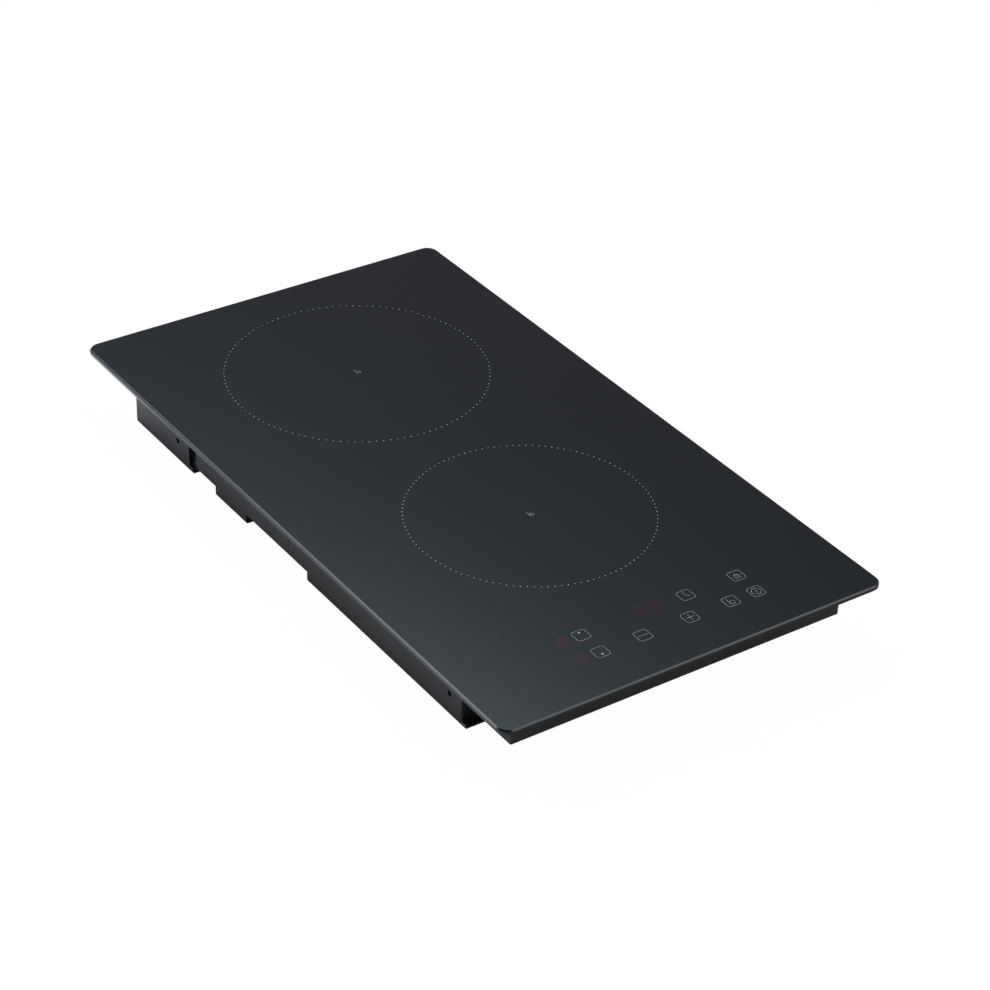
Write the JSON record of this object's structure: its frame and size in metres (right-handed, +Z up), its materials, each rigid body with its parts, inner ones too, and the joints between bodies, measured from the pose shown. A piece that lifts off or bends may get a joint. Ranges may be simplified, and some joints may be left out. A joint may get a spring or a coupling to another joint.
{
  "type": "induction hob",
  "caption": "Narrow built-in induction hob with a front and a rear cooking zone: bevelled black glass over a stepped black case with coils, electronics, blower and touch keys.",
  "frame": {"origin": "centre of the underside, at the lowest face of the bottom cover", "axes": "+Z up through the glass, -Y towards the cook (the control end), +X to the cook's right"},
  "size_m": [0.29, 0.52, 0.048],
  "materials": {
    "black_glass": "polished black glass-ceramic, opaque in use, ground bevel",
    "foam": "closed-cell foam strip",
    "silicone": "cured silicone bead",
    "zinc_steel": "zinc-plated steel",
    "black_case": "matte black moulded, fine grain",
    "black_cover": "matte black moulded, fine grain",
    "black_screw": "black-coated steel",
    "sheet_aluminium": "mill-finish sheet",
    "carrier_plastic": "glass-filled plastic, natural",
    "litz_copper": "enamelled copper litz wire",
    "ferrite": "sintered ferrite, matt",
    "fibre_felt": "ceramic-fibre felt with a mica face",
    "sensor_white": "moulded sensor holder",
    "spring_steel": "drawn wire",
    "circuit_board": "fibreglass with green solder mask",
    "extruded_aluminium": "extruded, matt",
    "package_black": "moulded electronic package",
    "film_yellow": "wrapped film capacitor",
    "box_white": "boxed film capacitor",
    "choke_copper": "enamelled copper wire on a ring core",
    "transformer_tape": "taped ferrite transformer",
    "sleeve_dark": "shrink-sleeved can",
    "tinned_brass": "tinned brass",
    "connector_white": "nylon",
    "fan_plastic": "moulded, smooth",
    "box_blue": "boxed suppression capacitor",
    "fuse_ceramic": "ceramic tube with metal caps",
    "rubber_black": "soft rubber",
    "bronze": "sintered bronze",
    "polished_shaft": "ground steel",
    "holder_grey": "moulded, natural",
    "display_red": "seven-segment module, unlit",
    "litz_sleeve": "glass-braid sleeve",
    "wire_red": "insulated wires",
    "wire_blue": "insulated wires"
  },
  "bodies": {
    "hob": {"glass_top": "black_glass", "foam_seal": "foam", "silicone_bond": "silicone", "left_glass_rail": "zinc_steel", "right_glass_rail": "zinc_steel", "case": "black_case", "bottom_cover": "black_cover", "cover_screws": "black_screw", "side_screws": "black_screw", "inner_screws": "zinc_steel", "coil_plate": "sheet_aluminium", "rear_coil_carrier": "carrier_plastic", "rear_coil_winding": "litz_copper", "rear_ferrites": "ferrite", "rear_insulation": "fibre_felt", "rear_sensor": "sensor_white", "rear_springs": "spring_steel", "front_coil_carrier": "carrier_plastic", "front_coil_winding": "litz_copper", "front_ferrites": "ferrite", "front_insulation": "fibre_felt", "front_sensor": "sensor_white", "front_springs": "spring_steel", "power_board": "circuit_board", "heatsink": "extruded_aluminium", "transistors": "package_black", "bridge_rectifier": "package_black", "resonant_capacitors": "film_yellow", "smoothing_capacitors": "box_white", "power_choke": "choke_copper", "current_transformers": "package_black", "supply_transformer": "transformer_tape", "electrolytic_capacitors": "sleeve_dark", "coil_terminals": "tinned_brass", "board_connectors": "connector_white", "air_guide": "fan_plastic", "filter_board": "circuit_board", "filter_choke": "choke_copper", "filter_capacitors": "box_blue", "fuse": "fuse_ceramic", "fuse_clips": "tinned_brass", "terminal_block": "connector_white", "terminal_screws": "tinned_brass", "cable_clamp": "black_cover", "cable_gland": "rubber_black", "blower_scroll": "fan_plastic", "blower_lid": "fan_plastic", "blower_bearing": "bronze", "blower_stator": "choke_copper", "control_board": "circuit_board", "board_holder": "holder_grey", "touch_springs": "spring_steel", "digit_displays": "display_red", "buzzer": "package_black", "coil_leads": "litz_sleeve", "signal_wires": "wire_red", "mains_wires": "wire_blue"},
    "rotor": {"blower_impeller": "fan_plastic", "blower_magnet": "ferrite", "blower_shaft": "polished_shaft"}
  },
  "joints": [
    {"name": "blower_spin", "type": "hinge", "parent": "hob", "child": "rotor", "pos_m": [-0.048, 0.152, 0.01], "axis": [0, 0, 1], "continuous": true}
  ]
}
